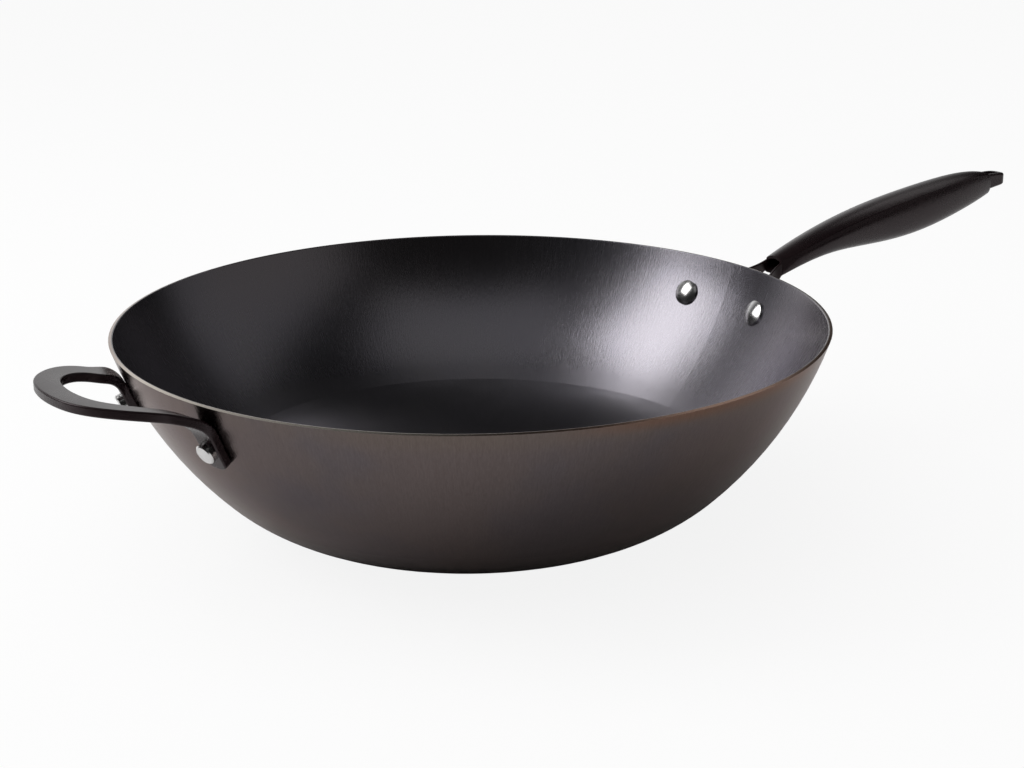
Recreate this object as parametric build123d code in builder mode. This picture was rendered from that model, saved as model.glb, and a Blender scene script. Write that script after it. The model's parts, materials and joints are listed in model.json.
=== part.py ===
from build123d import *
import os
from math import asin, atan2, cos, degrees, radians, sin, sqrt, tan

# Carbon steel wok: a spun bowl, a long hollow handle, a short loop handle and four rivets.
# Millimetres, +Z up. The origin is the centre of the base's underside.
# +X points along the long handle, and -X along the loop handle.

# Bowl: one sheet, a flat base, a knuckle arc and a side that is part of a sphere. The rim's slope
# is a share of the slope at which one arc from the base would reach it.
rim_radius = 180
bowl_height = 101.7
base_radius = 70
rim_slope_share = 0.8405
sheet = 2.0
rim_round = 0.6

# Rivets: a pair for each handle, this far below the rim on the outer wall
grip_rivet_drop = 21.2
loop_rivet_drop = 20.0
shank_diameter = 6
shank_clearance = 0.05
head_diameter = 14.0
head_thickness = 2.7
head_edge = 1.2
tail_diameter = 10.2
tail_thickness = 3.2
tail_bevel = 0.6
seat_sink = 0.3

# Loop handle: a flat bar bent off the wall, in plan a D. Its legs start at a share of the way from
# the tip to the pads and of the pads' distance aside.
loop_rivet_spacing = 84
loop_reach = 47.3
loop_band = 12
loop_plate = 4.5
loop_round = 0.8
loop_tip_radius = 70
loop_tip_turn = 12.4
loop_leg_share = 0.62
loop_side_share = 0.877
loop_corner_shares = (0.36, 0.72)
loop_pad_drop = 29.8
loop_leave_drop = 13.7
loop_bend_radius = 18
loop_arm_slope = 21
loop_tip_slope = 1.5
loop_crest_radius = 136
loop_pad_corner = 4.0

# Long handle: a hollow grip, a fork of two arms with a pad each, and a hanging eye
grip_rivet_spacing = 56
grip_reach = 216.8
grip_rise = 28.9
grip_width = 24
grip_depth = 27
grip_sheet = 1.5
crown_share = 0.3
ridge_inset_share = 0.6
belly_share = 1.13
belly_height_share = 0.55
haunch_drop_share = 0.78
ridge_round = 1.2
cavity_stations = 6

# Stations of the grip: along it from the arms' root, crown above the rim, half width, depth and how
# wide the haunch is of the belly
grip_station_shares = (
    (0.005, 0.014, 0.254, 0.382, 1.08),
    (0.147, 0.318, 0.358, 0.500, 0.80),
    (0.278, 0.547, 0.400, 0.691, 0.70),
    (0.488, 0.796, 0.429, 0.959, 0.70),
    (0.700, 0.955, 0.394, 0.944, 0.70),
    (0.831, 0.995, 0.317, 0.770, 0.70),
    (0.920, 0.925, 0.217, 0.511, 0.70),
)

arm_corner = 0.6
arm_root_reach = 27
arm_root_drop = 6.2
arm_root_gap = 13.2
arm_root_height = 7.6
pad_width = 19
pad_height = 17
pad_corner = 5

# Stations of an arm from root to pad: inward, aside, down, height, and the pad's turn and lean
arm_station_shares = (
    (-0.14, -0.04, -0.10, -0.17, 0.00, -0.32),
    (-0.03, -0.02, -0.03, -0.09, 0.04, -0.40),
    (0.06, 0.01, 0.08, 0.00, 0.11, -0.52),
    (0.20, 0.09, 0.24, 0.10, 0.25, -0.48),
    (0.54, 0.31, 0.60, 0.41, 0.30, 0.00),
    (0.80, 0.50, 0.84, 0.73, 0.42, 0.48),
    (0.93, 0.66, 0.95, 0.95, 0.75, 0.80),
    (1.02, 0.88, 1.03, 1.00, 1.00, 1.00),
)

# Hanging eye: a solid tab with a slot, past the end of the grip
tab_length = 28
tab_shoulder_share = 0.57
tab_width = 10.5
tab_depth = 10.7
tab_top_drop = 2.9
tab_nose_drop = 3.9
tab_nose_height = 6.3
tab_nose_round = 4.8
tab_round = 1.3
eye_length = 12.5
eye_width = 6
eye_end_wall = 5.0

overrun = 20

# Sphere of the bowl's side, and the knuckle arc tangent to it and to the base
rim_turn = rim_slope_share * 2 * degrees(atan2(bowl_height, rim_radius - base_radius))
side_radius = rim_radius / sin(radians(rim_turn))
side_centre = bowl_height + rim_radius / tan(radians(rim_turn))
knuckle_radius = (side_radius ** 2 - base_radius ** 2 - side_centre ** 2) / (2 * (side_radius - side_centre))
knuckle_turn = degrees(atan2(base_radius, side_centre - knuckle_radius))
grip_rivet_height = bowl_height - grip_rivet_drop
loop_rivet_height = bowl_height - loop_rivet_drop


def wall_radius(height):
    """Distance of the bowl's outer side from its axis at a height."""
    return sqrt(side_radius ** 2 - (side_centre - height) ** 2)


def wall_slope(height):
    """Degrees from level of the bowl's side at a height."""
    return 90 - degrees(asin((side_centre - height) / side_radius))


def seat(azimuth, height):
    """A plane on the bowl's outer side: X level along the wall, Y up the wall, Z straight out of it."""
    level = Vector(cos(radians(azimuth)), sin(radians(azimuth)), 0)
    tilt = radians(90 - wall_slope(height))
    on_wall = level * wall_radius(height) + Vector(0, 0, height)
    outward = level * cos(tilt) - Vector(0, 0, sin(tilt))
    return Plane(on_wall, x_dir=Vector(0, 0, 1).cross(level), z_dir=outward)


def spaced_azimuth(spacing, height):
    """Degrees from the handle's axis of a rivet in a pair this far apart at this height."""
    return degrees(asin(spacing / 2 / wall_radius(height)))


grip_azimuth = spaced_azimuth(grip_rivet_spacing, grip_rivet_height)
loop_azimuth = spaced_azimuth(loop_rivet_spacing, loop_rivet_height)
grip_seats = [seat(side * grip_azimuth, grip_rivet_height) for side in (-1, 1)]
loop_seats = [seat(180 - side * loop_azimuth, loop_rivet_height) for side in (-1, 1)]
hole_radius = shank_diameter / 2 + shank_clearance

# Bowl
with BuildPart() as bowl:
    with BuildSketch(Plane.XZ):
        with BuildLine():
            Line((0, 0), (base_radius, 0))
            CenterArc((base_radius, knuckle_radius), knuckle_radius, -90, knuckle_turn)
            side_turn = rim_turn - knuckle_turn
            outer_side = CenterArc((0, side_centre), side_radius, knuckle_turn - 90, side_turn)
            inner_side = CenterArc((0, side_centre), side_radius - sheet, knuckle_turn - 90, side_turn)
            Line(outer_side @ 1, inner_side @ 1)
            CenterArc((base_radius, knuckle_radius), knuckle_radius - sheet, -90, knuckle_turn)
            Polyline((base_radius, sheet), (0, sheet), (0, 0))
        make_face()
    revolve(axis=Axis.Z)
    fillet(bowl.edges().group_by(Axis.Z)[-1] + bowl.edges().group_by(Axis.Z)[-2], rim_round)
    for place in grip_seats + loop_seats:
        with BuildSketch(place):
            Circle(hole_radius)
        extrude(amount=sheet * 2, both=True, mode=Mode.SUBTRACT)
bowl.part.label = "bowl"

# Loop handle: the bar's side section turned about the bowl's axis, then cut to its plan
loop_tip = rim_radius + loop_reach
foot_height = bowl_height - loop_pad_drop
leave_height = bowl_height - loop_leave_drop
leave_slope = wall_slope(leave_height)
with BuildPart() as loop_handle:
    with BuildSketch(Plane.XZ):
        with BuildLine():
            leave = (wall_radius(leave_height), leave_height)
            leave_way = (cos(radians(leave_slope)), sin(radians(leave_slope)))
            RadiusArc((wall_radius(foot_height), foot_height), leave, -side_radius)
            bend = JernArc(leave, leave_way, loop_bend_radius, loop_arm_slope - leave_slope)
            JernArc(bend @ 1, bend % 1, loop_crest_radius, loop_tip_slope - loop_arm_slope)
            offset(amount=loop_plate, side=Side.RIGHT)
        make_face()
    revolve(axis=Axis.Z)
    with BuildSketch(Plane.XY):
        with BuildLine():
            tip_radius = loop_tip_radius - loop_band / 2
            tip_centre = Vector(loop_band / 2 + tip_radius - loop_tip, 0)
            tip_arc = CenterArc(tip_centre, tip_radius, 180 - loop_tip_turn, 2 * loop_tip_turn)
            pad_way = Vector(-1, 0).rotate(Axis.Z, -loop_azimuth)
            pad_point = pad_way * (wall_radius(loop_rivet_height) + loop_plate)
            tip_middle = tip_centre - Vector(tip_radius, 0)
            leg_run = loop_leg_share * (pad_point.X - tip_middle.X)
            leg_start = Vector(tip_middle.X + leg_run, loop_side_share * pad_point.Y)
            turn_room = leg_start - tip_arc @ 0
            turn_run = Vector(loop_corner_shares[0] * turn_room.X, loop_corner_shares[1] * turn_room.Y)
            turn_ways = [(tip_arc % 0) * -1, (1, 0)]
            corner = Spline(tip_arc @ 0, tip_arc @ 0 + turn_run, leg_start, tangents=turn_ways)
            leg = Spline(leg_start, pad_point, tangents=[(1, 0), pad_way * -1])
            foot_line = Line(leg @ 1, pad_way * (wall_radius(foot_height) - overrun))
            mirror([corner, leg, foot_line], about=Plane.XZ)
        trace(line_width=loop_band)
    extrude(amount=bowl_height + overrun, mode=Mode.INTERSECT)
    fillet(loop_handle.edges().filter_by(GeomType.HYPERBOLA), loop_pad_corner)
    fillet(loop_handle.edges(), loop_round)
    for place in loop_seats:
        with BuildSketch(place):
            Circle(hole_radius)
        extrude(amount=loop_plate * 2, both=True, mode=Mode.SUBTRACT)
loop_handle.part.label = "loop_handle"


def grip_plane(station):
    """The upright plane of one of the grip's stations."""
    return Plane.YZ.offset(rim_radius + arm_root_reach + station[0] * (grip_reach - arm_root_reach))


def grip_section(station, inset=0):
    """Draw the grip's section: an arched crown above a ridge at each side, and one curve under it."""
    crown = bowl_height + station[1] * grip_rise
    ridge = station[2] * grip_width
    ridge_height = crown - crown_share * ridge
    keel = crown - station[3] * grip_depth
    belly = ridge * belly_share - inset
    belly_height = keel + belly_height_share * (ridge_height - keel)
    keel = keel + inset
    haunch = (station[4] * belly, belly_height - haunch_drop_share * (belly_height - keel))
    ridge_point = (ridge - inset, ridge_height - ridge_inset_share * inset)
    right = [ridge_point, (belly, belly_height), haunch]
    left = [(-across, height) for across, height in reversed(right)]
    ThreePointArc(left[-1], (0, crown - inset), right[0])
    Spline(right + [(0, keel)] + left)


# Fork: a pad curved to the wall, and an arm lofted to it from the grip, then both mirrored
pad_inward = arm_root_reach + rim_radius - wall_radius(grip_rivet_height)
pad_aside = (grip_rivet_spacing - arm_root_gap) / 2
pad_down = grip_rivet_drop - arm_root_drop
pad_turn = 90 - grip_azimuth
pad_lean = 90 - wall_slope(grip_rivet_height)
with BuildPart() as fork:
    with BuildSketch(grip_seats[1]):
        RectangleRounded(pad_width, pad_height, pad_corner)
    extrude(amount=overrun, both=True)
    with Locations((0, 0, side_centre)):
        Sphere(side_radius + grip_sheet, mode=Mode.INTERSECT)
    for inward, aside, down, height, turn, lean in arm_station_shares:
        centre = Vector(
            rim_radius + arm_root_reach - inward * pad_inward,
            arm_root_gap / 2 + aside * pad_aside,
            bowl_height - arm_root_drop - down * pad_down,
        )
        heading = Vector(-1, 0, 0).rotate(Axis.Z, -turn * pad_turn)
        outer_side = Vector(0, 0, -1).cross(heading)
        tilt = radians(lean * pad_lean)
        leaning = outer_side * cos(tilt) - Vector(0, 0, sin(tilt))
        with BuildSketch(Plane(centre, x_dir=leaning, z_dir=heading)):
            station_height = arm_root_height + height * (pad_height - arm_root_height)
            RectangleRounded(grip_sheet, station_height, arm_corner)
    loft()
    with Locations((0, 0, side_centre)):
        Sphere(side_radius, mode=Mode.SUBTRACT)
    mirror(about=Plane.XZ)

# Grip: lofted through its stations, the ridges rounded, then hollowed by a loft inset from it
with BuildPart() as grip:
    for station in grip_station_shares:
        with BuildSketch(grip_plane(station)):
            with BuildLine():
                grip_section(station)
            make_face()
    loft()
    fillet(grip.edges().filter_by(GeomType.BSPLINE).sort_by(Edge.length)[-2:], ridge_round)

# Tab: its side outline made solid, the nose rounded in plan
handle_tip = rim_radius + grip_reach
tab_start = handle_tip - tab_length
tab_top = bowl_height + grip_rise - tab_top_drop
with BuildPart() as tab:
    with BuildSketch(Plane.XZ):
        with BuildLine():
            nose_top = (handle_tip, bowl_height + grip_rise - tab_nose_drop)
            nose_bottom = (handle_tip, nose_top[1] - tab_nose_height)
            top = Line((tab_start, tab_top), (tab_start + tab_length * tab_shoulder_share, tab_top))
            TangentArc(top @ 1, nose_top, tangent=(1, 0))
            Polyline(nose_top, nose_bottom, (tab_start, tab_top - tab_depth), (tab_start, tab_top))
        make_face()
    extrude(amount=tab_width / 2, both=True)
    fillet(tab.edges().filter_by(Axis.Z).group_by(Axis.X)[-1], tab_nose_round)
    fillet(tab.edges().group_by(Axis.X)[1:], tab_round)

# Long handle: fork, grip and tab as one, with the cavity, the eye and the rivet holes cut
with BuildPart() as long_handle:
    add(fork.part)
    add(grip.part)
    for station in grip_station_shares[:cavity_stations]:
        with BuildSketch(grip_plane(station)):
            with BuildLine():
                grip_section(station, grip_sheet)
            make_face()
    loft(mode=Mode.SUBTRACT)
    add(tab.part)
    with BuildSketch(Plane.XY):
        with Locations((handle_tip - eye_end_wall - eye_length / 2, 0)):
            SlotOverall(eye_length, eye_width)
    extrude(amount=bowl_height + grip_rise + overrun, mode=Mode.SUBTRACT)
    for place in grip_seats:
        with BuildSketch(place):
            Circle(hole_radius)
        extrude(amount=grip_sheet * 2, both=True, mode=Mode.SUBTRACT)
long_handle.part.label = "long_handle"


def rivet(place, handle_thickness, handle):
    """A rivet through the wall and a handle, its head inside the bowl, cut to the faces it bears on."""
    with BuildPart() as body:
        with BuildSketch(Plane(place.origin, x_dir=place.x_dir, z_dir=place.y_dir * -1)):
            with BuildLine():
                crown = (0, -sheet - head_thickness)
                head_rim = (head_diameter / 2, -sheet - head_edge)
                seat_height = handle_thickness - seat_sink
                end_height = handle_thickness + tail_thickness
                TangentArc(crown, head_rim, tangent=(1, 0))
                Polyline(
                    head_rim,
                    (head_diameter / 2, seat_sink - sheet),
                    (shank_diameter / 2, seat_sink - sheet),
                    (shank_diameter / 2, seat_height),
                    (tail_diameter / 2, seat_height),
                    (tail_diameter / 2, end_height - tail_bevel),
                    (tail_diameter / 2 - tail_bevel, end_height),
                    (0, end_height),
                    crown,
                )
            make_face()
        revolve(axis=Axis(place.origin, place.z_dir))
        add(bowl.part, mode=Mode.SUBTRACT)
        add(handle.part, mode=Mode.SUBTRACT)
    return body.part


# Rivets: the front one of each pair is on the -Y side
rivets = {}
for side, grip_seat, loop_seat in zip(("front", "back"), grip_seats, loop_seats):
    rivets[f"long_handle_rivet_{side}"] = rivet(grip_seat, grip_sheet, long_handle)
    rivets[f"loop_handle_rivet_{side}"] = rivet(loop_seat, loop_plate, loop_handle)

os.makedirs("parts", exist_ok=True)
export_step(bowl.part, "parts/bowl.step")
export_step(loop_handle.part, "parts/loop_handle.step")
export_step(long_handle.part, "parts/long_handle.step")
for name, body in rivets.items():
    body.label = name
    export_step(body, f"parts/{name}.step")
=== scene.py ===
import json
from math import cos, pi, radians, sin

import bpy
from mathutils import Matrix, Vector

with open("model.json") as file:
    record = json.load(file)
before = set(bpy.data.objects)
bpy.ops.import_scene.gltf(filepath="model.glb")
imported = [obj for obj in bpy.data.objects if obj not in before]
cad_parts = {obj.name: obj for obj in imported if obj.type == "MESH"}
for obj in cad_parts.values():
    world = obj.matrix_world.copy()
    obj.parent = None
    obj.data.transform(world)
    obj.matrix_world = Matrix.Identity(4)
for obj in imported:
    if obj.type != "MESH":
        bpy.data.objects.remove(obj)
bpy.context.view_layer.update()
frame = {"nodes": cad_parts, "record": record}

# Lengths are in metres and angles in degrees, in the frame of the CAD model: +Z up, the long
# handle along +X. An azimuth goes from +X towards +Y. Colours are linear RGB.

WHITE = (1.0, 1.0, 1.0)

# Camera: fitted to the rim's ellipse and to the outline in the photograph
CAMERA_AT = (-0.5220, -0.7620, 0.3634)
CAMERA_LOOK = (0.5550, 0.7735, -0.3062)
CAMERA_ROLL = -0.502
LENS_MM = 66.797
SENSOR_MM = 36.0
CLIP_NEAR = 0.01
CLIP_FAR = 50.0

# The azimuth that the camera looks along. Table edge, studio and lights are placed by it.
VIEW_AZIMUTH = 54.34


def direction(azimuth, elevation):
    """A unit vector by its azimuth and elevation."""
    around, up = radians(azimuth), radians(elevation)
    return Vector((cos(around) * cos(up), sin(around) * cos(up), sin(up)))


class Graph:
    """A node tree with short calls for the nodes that the materials here are made of."""

    def __init__(self, tree):
        self.tree = tree
        tree.nodes.clear()

    def node(self, kind, inputs=None, **settings):
        """Add a node, set its properties, then link or set its inputs."""
        made = self.tree.nodes.new(kind)
        for name, value in settings.items():
            setattr(made, name, value)
        for name, value in (inputs or {}).items():
            if isinstance(value, bpy.types.NodeSocket):
                self.tree.links.new(value, made.inputs[name])
            else:
                made.inputs[name].default_value = value
        return made

    def math(self, operation, first, second=0.0):
        return self.node("ShaderNodeMath", {0: first, 1: second}, operation=operation).outputs[0]

    def vector(self, operation, first, second=(0.0, 0.0, 0.0)):
        made = self.node("ShaderNodeVectorMath", {0: first, 1: second}, operation=operation)
        return made.outputs["Value" if operation in ("DOT_PRODUCT", "LENGTH") else "Vector"]

    def ramp(self, value, low, high, to_low, to_high, kind):
        """Map value from the range low to high onto another range, held at both ends."""
        inputs = {"Value": value, "From Min": low, "From Max": high, "To Min": to_low, "To Max": to_high}
        return self.node("ShaderNodeMapRange", inputs, interpolation_type=kind).outputs["Result"]

    def step(self, value, low, high, to_low=0.0, to_high=1.0):
        """A smooth step. It runs the other way where low is the larger one."""
        return self.ramp(value, low, high, to_low, to_high, "SMOOTHSTEP")

    def line(self, value, low, high, to_low, to_high):
        """A straight ramp."""
        return self.ramp(value, low, high, to_low, to_high, "LINEAR")

    def noise(self, vector, scale, detail=2.0, roughness=0.5):
        """Noise around 0.5, mostly between 0.3 and 0.7. A step or a line over part of that shapes it."""
        inputs = {"Vector": vector, "Scale": scale, "Detail": detail, "Roughness": roughness}
        return self.node("ShaderNodeTexNoise", inputs).outputs["Fac"]

    def mix(self, factor, first, second):
        """Mix two colours."""
        made = self.node("ShaderNodeMix", data_type="RGBA")
        for socket, value in ((made.inputs[0], factor), (made.inputs[6], first), (made.inputs[7], second)):
            if isinstance(value, bpy.types.NodeSocket):
                self.tree.links.new(value, socket)
            elif isinstance(value, tuple):
                socket.default_value = (*value, 1.0)
            else:
                socket.default_value = value
        return made.outputs[2]

    def choose(self, factor, first, second):
        """Mix two numbers."""
        return self.node("ShaderNodeMix", {0: factor, 2: first, 3: second}, data_type="FLOAT").outputs[0]

    def shade(self, colour, factor):
        """Multiply a colour or a vector by a number."""
        return self.node("ShaderNodeVectorMath", {0: colour, 3: factor}, operation="SCALE").outputs["Vector"]

    def bump(self, height, depth, **others):
        """The normal of a relief. Others are the inputs Strength and Normal."""
        return self.node("ShaderNodeBump", {"Height": height, "Distance": depth, **others}).outputs[0]

    def surface(self, shader):
        self.node("ShaderNodeOutputMaterial", {"Surface": shader})


def new_material(name, graph_kind=Graph):
    """A material with an empty tree."""
    material = bpy.data.materials.new(name)
    material.use_nodes = True
    return material, graph_kind(material.node_tree)


# Bowl: the height of its rim, and of the centre of the sphere that its side is part of
RIM_HEIGHT = 0.1017
SIDE_CENTRE = 0.1606

# "Facing" is the cosine between a face's normal and the way out from that centre: 1 outside,
# -1 inside, between them on the edge. Here are the range in which outside turns into inside,
# where the edge starts and is full, and the range over which its top turns into its corner.
INSIDE_RANGE = (0.15, -0.15)
EDGE_RANGE = (0.9, 0.6)
CORNER_RANGE = (-0.42, -0.1)

# Brush marks: how close they are per radian round the bowl and per metre along its profile, and
# the detail of their noise
FINE_MARKS = (380.0, 70.0, 3.0)
DASH_MARKS = (280.0, 230.0, 2.0)
BROAD_MARKS = (110.0, 30.0, 2.0)
MARKS_DEPTH = 0.00016
MARKS_STRENGTH = 0.5
DASH_SHARE = 0.7
BROAD_SHARE = 0.3

# How much the brush marks darken and lighten the steel
FINE_SHADE = (0.97, 1.03)
DASH_SHADE = (0.90, 1.10)
BROAD_SHADE = (0.96, 1.04)

CLOUD_SCALE = 14.0
PATCH_SCALE = 4.0

# Outside: colours, and the bands below the rim in which straw and copper fade out
OXIDE_VIOLET = (0.103, 0.091, 0.099)
OXIDE_BROWN = (0.119, 0.098, 0.096)
OXIDE_RUST = (0.127, 0.099, 0.094)
STRAW = (0.135, 0.108, 0.092)
COPPER = (0.175, 0.095, 0.065)
STRAW_BAND = (0.012, 0.002)
COPPER_BAND = (0.007, 0.0)
COPPER_SHARE = 0.8

# Inside: colours, and the band below the rim in which the brown fades out
STEEL_DARK = (0.240, 0.229, 0.258)
STEEL_LIGHT = (0.252, 0.240, 0.264)
STEEL_BROWN = (0.260, 0.225, 0.225)
BROWN_BAND = (0.05, 0.0)

# Edge: colours of its top and of its outer corner, and a near-white painted highlight on that corner
EDGE_TOP = (0.16, 0.15, 0.15)
EDGE_CORNER = (0.40, 0.35, 0.32)
# A painted highlight: the edge's corner is coloured near-white on one side of the bowl
EDGE_PAINTED_HIGHLIGHT = (1.0, 0.93, 0.83)
EDGE_COPPER = (0.30, 0.18, 0.13)
EDGE_COPPER_SHARE = 0.85

# The azimuths at which copper and the painted highlight on the edge are centred, and the cosines of the
# angle from there at which they start and are full
COPPER_AZIMUTH = -82
PAINTED_HIGHLIGHT_AZIMUTH = -152
COPPER_SPREAD = (0.84, 0.99)
EDGE_COPPER_SPREAD = (0.5, 0.9)
PAINTED_HIGHLIGHT_SPREAD = (0.65, 0.95)

# Roughness: from the fine marks and the clouds, less outside, more inside below these heights
MARKS_ROUGHNESS = (0.24, 0.29)
CLOUD_ROUGHNESS = (-0.015, 0.015)
OUTSIDE_SMOOTHER = 0.05
BASE_ROUGHER = 0.10
BASE_ROUGHER_HEIGHTS = (0.045, 0.010)

# The marks are shallower on the base: by this share, which grows to 1 between these heights
BASE_MARKS_SHARE = 0.35
BASE_MARKS_HEIGHTS = (0.008, 0.035)

# The bend between base and side is gentler inside: a rise spread between these distances from
# the axis
KNUCKLE_SPAN = (0.035, 0.100)
KNUCKLE_RELIEF = 0.0028

# Tint of grazing reflections on the oxide outside
OXIDE_SHEEN = (0.84, 0.78, 0.76)
BRUSHED_ANISOTROPY = 0.3


class BowlGraph(Graph):
    """The bowl's node tree, with what its looks depend on: where a point of it is, and its noises."""

    def __init__(self, tree):
        super().__init__(tree)
        place = self.node("ShaderNodeTexCoord").outputs["Object"]
        normal = self.node("ShaderNodeNewGeometry").outputs["Normal"]
        flat = self.vector("MULTIPLY", place, (1.0, 1.0, 0.0))
        outward = self.vector("NORMALIZE", self.vector("SUBTRACT", place, (0.0, 0.0, SIDE_CENTRE)))
        self.height = self.node("ShaderNodeSeparateXYZ", {0: place}).outputs["Z"]
        self.below_rim = self.math("SUBTRACT", RIM_HEIGHT, self.height)
        self.radius = self.vector("LENGTH", flat)
        self.round_way = self.vector("NORMALIZE", flat)
        self.along = self.math("ADD", self.radius, self.height)
        self.facing = self.vector("DOT_PRODUCT", normal, outward)
        self.inside = self.step(self.facing, *INSIDE_RANGE)
        self.edge = self.step(self.math("ABSOLUTE", self.facing), *EDGE_RANGE)
        self.fine = self.marks(*FINE_MARKS)
        self.dash = self.marks(*DASH_MARKS)
        self.broad = self.marks(*BROAD_MARKS)
        self.cloud = self.noise(place, CLOUD_SCALE, 3.0, 0.6)
        self.patch = self.noise(place, PATCH_SCALE)

    def marks(self, per_radian, per_metre, detail):
        """Noise drawn out along the meridians."""
        run = self.node("ShaderNodeCombineXYZ", {"Z": self.math("MULTIPLY", self.along, per_metre)})
        place = self.vector("ADD", self.shade(self.round_way, per_radian), run.outputs[0])
        return self.noise(place, 1.0, detail, 0.6)

    def side(self, azimuth, spread):
        """1 on the side of the bowl at this azimuth, 0 away from it."""
        return self.step(self.vector("DOT_PRODUCT", self.round_way, tuple(direction(azimuth, 0))), *spread)


def outside_colour(g):
    """Brown oxide with violet clouds and rust patches, with straw and copper below the rim."""
    colour = g.mix(g.step(g.cloud, 0.38, 0.62), OXIDE_VIOLET, OXIDE_BROWN)
    colour = g.mix(g.step(g.patch, 0.4, 0.65, 0.0, 0.6), colour, OXIDE_RUST)
    straw = g.math("MULTIPLY", g.step(g.below_rim, *STRAW_BAND), g.step(g.patch, 0.35, 0.6, 0.25, 0.7))
    colour = g.mix(straw, colour, STRAW)
    copper = g.math("MULTIPLY", g.step(g.below_rim, *COPPER_BAND), g.side(COPPER_AZIMUTH, COPPER_SPREAD))
    colour = g.mix(g.math("MULTIPLY", copper, COPPER_SHARE), colour, COPPER)
    colour = g.shade(colour, g.line(g.broad, 0.25, 0.75, *BROAD_SHADE))
    return g.shade(colour, g.line(g.dash, 0.25, 0.75, *DASH_SHADE))


def inside_colour(g):
    """Cool grey steel, with a trace of brown in patches near the rim."""
    colour = g.mix(g.step(g.cloud, 0.35, 0.65), STEEL_DARK, STEEL_LIGHT)
    brown = g.math("MULTIPLY", g.step(g.below_rim, *BROWN_BAND), g.step(g.patch, 0.45, 0.62, 0.0, 0.5))
    colour = g.mix(brown, colour, STEEL_BROWN)
    return g.shade(colour, g.line(g.fine, 0.25, 0.75, *FINE_SHADE))


def edge_colour(g):
    """The trimmed sheet: dull on top, bare along its outer corner, with a painted highlight there on one
    side, coppery where the wall below is.
    """
    # The near-white corner on one side is a painted highlight, not the steel's own colour
    corner = g.mix(g.side(PAINTED_HIGHLIGHT_AZIMUTH, PAINTED_HIGHLIGHT_SPREAD), EDGE_CORNER, EDGE_PAINTED_HIGHLIGHT)
    copper = g.math("MULTIPLY", g.side(COPPER_AZIMUTH, EDGE_COPPER_SPREAD), EDGE_COPPER_SHARE)
    corner = g.mix(copper, corner, EDGE_COPPER)
    return g.mix(g.step(g.facing, *CORNER_RANGE), EDGE_TOP, corner)


def bowl_roughness(g):
    """Satin, a little smoother outside and rougher on the base inside."""
    marks = g.line(g.fine, 0.2, 0.8, *MARKS_ROUGHNESS)
    roughness = g.math("ADD", marks, g.line(g.cloud, 0.3, 0.7, *CLOUD_ROUGHNESS))
    outside = g.math("SUBTRACT", 1.0, g.inside)
    roughness = g.math("SUBTRACT", roughness, g.math("MULTIPLY", outside, OUTSIDE_SMOOTHER))
    base = g.step(g.height, *BASE_ROUGHER_HEIGHTS, 0.0, BASE_ROUGHER)
    return g.math("ADD", roughness, g.math("MULTIPLY", g.inside, base))


def bowl_normal(g):
    """Brush marks, none on the edge, and the gentler bend inside."""
    marks = g.math("ADD", g.math("MULTIPLY", g.dash, DASH_SHARE), g.math("MULTIPLY", g.broad, BROAD_SHARE))
    marks = g.math("MULTIPLY", marks, g.math("SUBTRACT", 1.0, g.edge))
    marks = g.math("MULTIPLY", marks, g.step(g.height, *BASE_MARKS_HEIGHTS, BASE_MARKS_SHARE, 1.0))
    bend = g.math("MULTIPLY", g.step(g.radius, *KNUCKLE_SPAN), g.inside)
    brushed = g.bump(marks, MARKS_DEPTH, Strength=MARKS_STRENGTH)
    return g.bump(bend, KNUCKLE_RELIEF, Normal=brushed)


def bowl_material():
    """Carbon steel brushed along its meridians: cool inside, browned by heat outside, bare on its edge, with
    a painted highlight on one side of it.
    """
    material, g = new_material("bowl_carbon_steel", BowlGraph)
    sheet = g.mix(g.inside, outside_colour(g), inside_colour(g))
    tangent = g.node("ShaderNodeTangent", direction_type="RADIAL", axis="Z")
    metal = g.node("ShaderNodeBsdfPrincipled", {
        "Base Color": g.mix(g.edge, sheet, edge_colour(g)),
        "Metallic": 1.0,
        "Roughness": bowl_roughness(g),
        "Specular Tint": g.mix(g.inside, OXIDE_SHEEN, WHITE),
        "Anisotropic": BRUSHED_ANISOTROPY,
        "Tangent": tangent.outputs[0],
        "Normal": bowl_normal(g),
    })
    g.surface(metal.outputs[0])
    return material


# Handles: the black coat, the tint of its reflections, and its fine grain
COAT_DARK = (0.009, 0.0045, 0.0055)
COAT_LIGHT = (0.013, 0.007, 0.008)
COAT_TINT = (1.0, 0.85, 0.88, 1.0)
COAT_IOR = 1.42
COAT_ROUGHNESS = (0.25, 0.31)
COAT_CLOUD_SCALE = 22.0
GRAIN_SCALE = 900.0
GRAIN_ROUGHNESS = (-0.02, 0.02)
GRAIN_DEPTH = 0.00004
GRAIN_STRENGTH = 0.2


def handle_material():
    """Satin black coat over steel, with a fine orange-peel grain."""
    material, g = new_material("handle_satin_black")
    place = g.node("ShaderNodeTexCoord").outputs["Object"]
    grain = g.noise(place, GRAIN_SCALE)
    cloud = g.noise(place, COAT_CLOUD_SCALE, 3.0)
    roughness = g.line(cloud, 0.3, 0.7, *COAT_ROUGHNESS)
    coat = g.node("ShaderNodeBsdfPrincipled", {
        "Base Color": g.mix(g.step(cloud, 0.35, 0.65), COAT_DARK, COAT_LIGHT),
        "Roughness": g.math("ADD", roughness, g.line(grain, 0.2, 0.8, *GRAIN_ROUGHNESS)),
        "IOR": COAT_IOR,
        "Specular Tint": COAT_TINT,
        "Normal": g.bump(grain, GRAIN_DEPTH, Strength=GRAIN_STRENGTH),
    })
    g.surface(coat.outputs[0])
    return material


# Rivets
RIVET_DARK = (0.66, 0.655, 0.65)
RIVET_LIGHT = (0.76, 0.755, 0.75)
RIVET_ROUGHNESS = (0.18, 0.25)
RIVET_CLOUD_SCALE = 160.0
SCRATCH_SCALE = 1400.0
SCRATCH_DEPTH = 0.00003
SCRATCH_STRENGTH = 0.1


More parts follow.
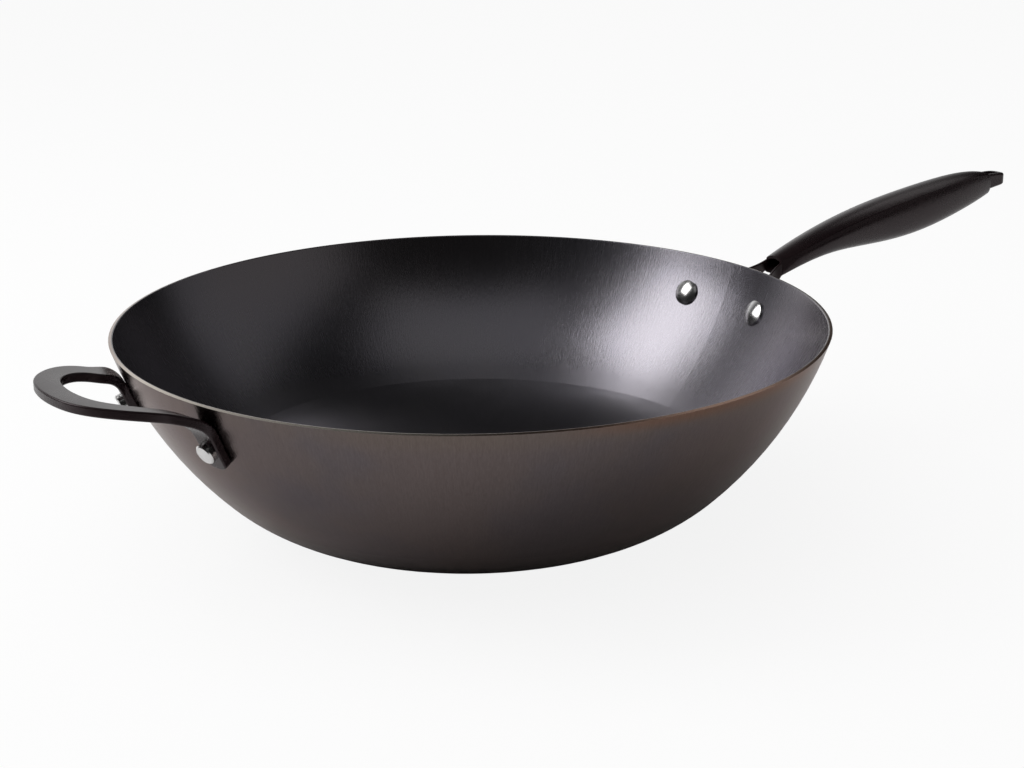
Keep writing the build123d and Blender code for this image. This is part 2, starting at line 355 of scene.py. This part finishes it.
def rivet_material():
    """Polished steel with faint scratches."""
    material, g = new_material("rivet_polished_steel")
    place = g.node("ShaderNodeTexCoord").outputs["Object"]
    scratch = g.noise(place, SCRATCH_SCALE, 2.0, 0.7)
    cloud = g.noise(place, RIVET_CLOUD_SCALE)
    metal = g.node("ShaderNodeBsdfPrincipled", {
        "Base Color": g.mix(g.step(cloud, 0.35, 0.65), RIVET_DARK, RIVET_LIGHT),
        "Metallic": 1.0,
        "Roughness": g.line(cloud, 0.3, 0.7, *RIVET_ROUGHNESS),
        "Normal": g.bump(scratch, SCRATCH_DEPTH, Strength=SCRATCH_STRENGTH),
    })
    g.surface(metal.outputs[0])
    return material


def dress_nodes():
    """Give every CAD node its finish."""
    bowl, black, polished = bowl_material(), handle_material(), rivet_material()
    finishes = {"bowl_steel": bowl, "handle_steel": black, "rivet_steel": polished}
    slots = {part["node"]: part["material_slot"] for part in frame["record"]["subparts"]}
    for name, node in frame["nodes"].items():
        node.material_slots[0].material = finishes[slots[name]]


# Floor: to the camera this share of it is plain white, and the rest is matt and takes the shadow.
# In reflections it ends in darkness, past a front edge at this distance from the bowl's axis.
FLOOR_SIZE = 12.0
FLOOR_WHITE_SHARE = 0.88
TABLE_FRONT = 0.36
TABLE_FADE = 0.06
PAST_TABLE = (0.03, 0.03, 0.03)


def floor_material():
    """A matt white floor, its shadow kept. Reflections show it as a table whose front edge is near."""
    material, g = new_material("white_floor")
    path = g.node("ShaderNodeLightPath").outputs
    place = g.node("ShaderNodeTexCoord").outputs["Object"]
    towards_camera = g.vector("DOT_PRODUCT", place, tuple(direction(VIEW_AZIMUTH + 180, 0)))
    past = g.step(towards_camera, TABLE_FRONT - TABLE_FADE, TABLE_FRONT + TABLE_FADE)
    colour = g.mix(g.math("MULTIPLY", past, path["Is Glossy Ray"]), WHITE, PAST_TABLE)
    matt = g.node("ShaderNodeBsdfDiffuse", {"Color": colour})
    white = g.node("ShaderNodeEmission", {"Color": (*WHITE, 1.0), "Strength": 1.0})
    share = g.math("MULTIPLY", path["Is Camera Ray"], FLOOR_WHITE_SHARE)
    mixed = g.node("ShaderNodeMixShader", {0: share, 1: matt.outputs[0], 2: white.outputs[0]})
    g.surface(mixed.outputs[0])
    return material


def make_floor():
    mesh = bpy.data.meshes.new("floor")
    half = FLOOR_SIZE / 2
    corners = [(-half, -half, 0), (half, -half, 0), (half, half, 0), (-half, half, 0)]
    mesh.from_pydata(corners, [], [(0, 1, 2, 3)])
    floor = bpy.data.objects.new("floor", mesh)
    bpy.context.scene.collection.objects.link(floor)
    mesh.materials.append(floor_material())


# Studio in reflections: a white backdrop, full below one elevation and gone above another, that
# fades out to both sides, in a room that is nearly dark
BACKDROP_AZIMUTH = VIEW_AZIMUTH + 20
BACKDROP_HALF_WIDTH = 44
BACKDROP_FULL = 10
BACKDROP_GONE = 60
ROOM_GLOW = 0.012

# Studio as light on matt surfaces: a ceiling that starts at one elevation and is full at another,
# and is brighter towards the camera's left
CEILING_STARTS = 18
CEILING_FULL = 68
CEILING_GLOW = 2.1
LEFTWARD_RANGE = (-0.8, 1.0)


def make_world():
    """White to the camera, a studio to everything else."""
    world = bpy.data.worlds.new("studio")
    bpy.context.scene.world = world
    world.use_nodes = True
    world.cycles.sampling_method = "NONE"
    g = Graph(world.node_tree)
    way = g.node("ShaderNodeTexCoord").outputs["Generated"]
    up = g.node("ShaderNodeSeparateXYZ", {0: way}).outputs["Z"]
    around = g.vector("NORMALIZE", g.vector("MULTIPLY", way, (1.0, 1.0, 0.0)))

    behind = g.vector("DOT_PRODUCT", around, tuple(direction(BACKDROP_AZIMUTH, 0)))
    low = g.step(up, sin(radians(BACKDROP_GONE)), sin(radians(BACKDROP_FULL)))
    backdrop = g.math("MULTIPLY", low, g.step(behind, cos(radians(BACKDROP_HALF_WIDTH)), 1.0))
    reflected = g.math("ADD", backdrop, ROOM_GLOW)

    leftward = g.vector("DOT_PRODUCT", way, tuple(direction(VIEW_AZIMUTH + 90, 0)))
    ceiling = g.step(up, sin(radians(CEILING_STARTS)), sin(radians(CEILING_FULL)))
    lighting = g.math("MULTIPLY", ceiling, g.line(leftward, *LEFTWARD_RANGE, 0.0, CEILING_GLOW))

    path = g.node("ShaderNodeLightPath").outputs
    glossy = g.math("MAXIMUM", path["Is Glossy Ray"], path["Is Transmission Ray"])
    strength = g.choose(path["Is Camera Ray"], g.choose(glossy, lighting, reflected), 1.0)
    background = g.node("ShaderNodeBackground", {"Color": (*WHITE, 1.0), "Strength": strength})
    g.node("ShaderNodeOutputWorld", {"Surface": background.outputs[0]})


# Softboxes, all facing one point: azimuth from VIEW_AZIMUTH, elevation, distance, width, height,
# and radiance, which is how bright the face looks
LIT_POINT = Vector((0.0, 0.0, 0.06))
SOFTBOXES = {
    "softbox_left": (87.5, 37, 1.5, 0.84, 0.86, 3.7),
    "softbox_right": (-90, 24, 1.8, 2.6, 1.0, 0.18),
    "overhead": (-178, 61, 1.8, 2.0, 0.9, 0.24),
    "softbox_back": (-32, 42, 1.8, 0.6, 0.5, 0.8),
}


def softbox(name, azimuth, elevation, distance, width, height, radiance):
    """A rectangular light that faces LIT_POINT, and that the camera doesn't see."""
    light = bpy.data.lights.new(name, "AREA")
    light.shape = "RECTANGLE"
    light.size = width
    light.size_y = height
    light.energy = radiance * pi * width * height
    box = bpy.data.objects.new(name, light)
    bpy.context.scene.collection.objects.link(box)
    box.location = LIT_POINT + direction(azimuth, elevation) * distance
    box.rotation_euler = direction(azimuth, elevation).to_track_quat("Z", "Y").to_euler()
    box.visible_camera = False


def make_lights():
    for name, (azimuth, *rest) in SOFTBOXES.items():
        softbox(name, VIEW_AZIMUTH + azimuth, *rest)


def make_camera():
    camera = bpy.data.cameras.new("camera")
    camera.lens = LENS_MM
    camera.sensor_width = SENSOR_MM
    camera.clip_start = CLIP_NEAR
    camera.clip_end = CLIP_FAR
    seat = bpy.data.objects.new("camera", camera)
    bpy.context.scene.collection.objects.link(seat)
    seat.location = CAMERA_AT
    aim = Vector(CAMERA_LOOK).to_track_quat("-Z", "Y").to_matrix()
    roll = Matrix.Rotation(radians(CAMERA_ROLL), 3, "Z")
    seat.rotation_euler = (aim @ roll).to_euler()
    bpy.context.scene.camera = seat


make_camera()
make_floor()
make_world()
make_lights()
dress_nodes()

bpy.context.scene.view_settings.view_transform = "Standard"
